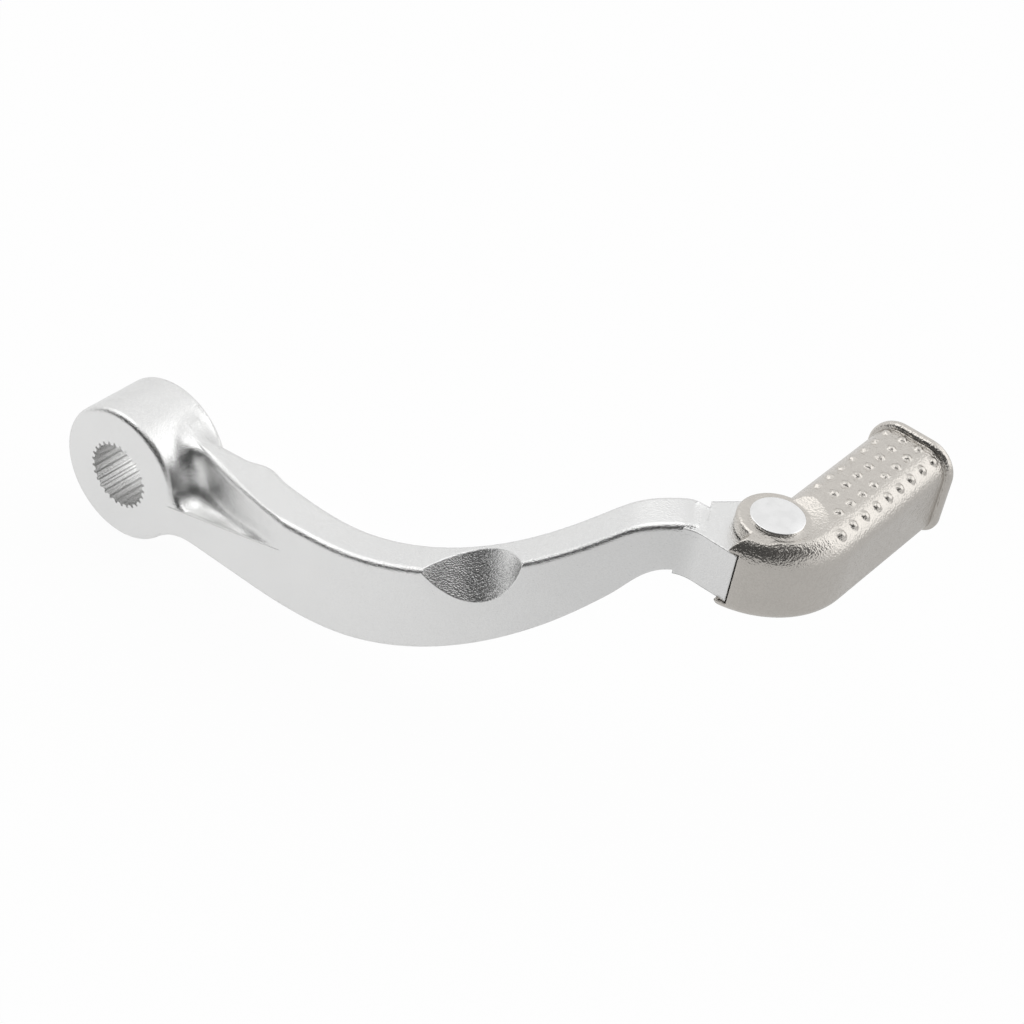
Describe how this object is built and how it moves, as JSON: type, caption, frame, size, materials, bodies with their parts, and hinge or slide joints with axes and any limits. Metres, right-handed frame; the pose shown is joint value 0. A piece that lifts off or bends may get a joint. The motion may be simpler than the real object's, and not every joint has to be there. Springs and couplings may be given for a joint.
{
  "type": "folding gear lever",
  "caption": "Motorbike gear lever: a swept forged arm with a splined boss, and a pip-gripped toe peg that folds back on a rivet against a return spring.",
  "frame": {"origin": "centre of the splined bore on the boss's outer face", "axes": "+X from the boss to the toe end, +Y along the boss and the toe peg, away from the outer face, +Z along the rivet"},
  "size_m": [0.1472, 0.0723, 0.064],
  "materials": {
    "arm": "bright satin with a fine sparkling grain",
    "toe": "warm grey plated casting, fine grain",
    "rivet": "polished",
    "spring": "drawn wire"
  },
  "bodies": {
    "arm": {"lever_arm": "arm", "return_spring": "spring"},
    "toe": {"toe_tip": "toe", "pivot_rivet": "rivet"}
  },
  "joints": [
    {"name": "toe_fold", "type": "hinge", "parent": "arm", "child": "toe", "pos_m": [0.1196, 0.0338, 0.04], "axis": [0, 0, 1], "range_deg": [0, 85], "stiffness_Nm_per_rad": 0.12, "springref_deg": -68.75}
  ]
}
